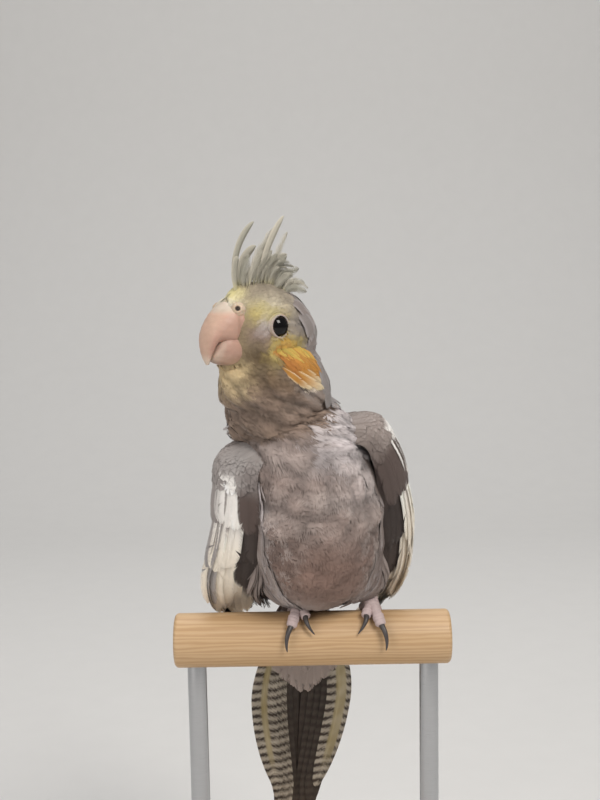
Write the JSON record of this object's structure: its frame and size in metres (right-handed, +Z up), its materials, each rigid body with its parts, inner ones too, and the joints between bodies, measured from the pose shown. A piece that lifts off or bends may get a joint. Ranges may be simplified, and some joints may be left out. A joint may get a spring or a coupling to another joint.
{
  "type": "cockatiel figure on a perch",
  "caption": "Life-size still model of a young grey cockatiel with a raised crest, gripping a short round perch on a plain two-rod display stand.",
  "frame": {"origin": "centre of the stand base's underside", "axes": "+Z up; the bird's breast faces -Y and its left side is towards +X; the perch lies along X"},
  "size_m": [0.136, 0.136, 0.2813],
  "materials": {
    "grey_plumage": "soft matte",
    "face_plumage": "soft matte",
    "crest_plumage": "soft matte",
    "wing_plumage": "soft matte",
    "tail_plumage": "soft matte",
    "pink_horn": "satin",
    "claw_horn": "satin",
    "foot_skin": "matte",
    "eye_black": "wet gloss",
    "turned_wood": "satin lacquer",
    "satin_rod": "satin"
  },
  "bodies": {
    "root": {"head": "face_plumage", "neck": "grey_plumage", "torso": "grey_plumage", "crest": "crest_plumage", "wing_left": "wing_plumage", "wing_right": "wing_plumage", "tail": "tail_plumage", "leg_left": "grey_plumage", "leg_right": "grey_plumage", "bill_upper": "pink_horn", "bill_lower": "pink_horn", "eye_left": "eye_black", "eye_right": "eye_black", "foot_left": "foot_skin", "foot_right": "foot_skin", "claw_left_1": "claw_horn", "claw_left_2": "claw_horn", "claw_left_3": "claw_horn", "claw_left_4": "claw_horn", "claw_right_1": "claw_horn", "claw_right_2": "claw_horn", "claw_right_3": "claw_horn", "claw_right_4": "claw_horn", "stand_perch": "turned_wood", "stand_base": "turned_wood", "stand_rod_left": "satin_rod", "stand_rod_right": "satin_rod"}
  },
  "joints": []
}
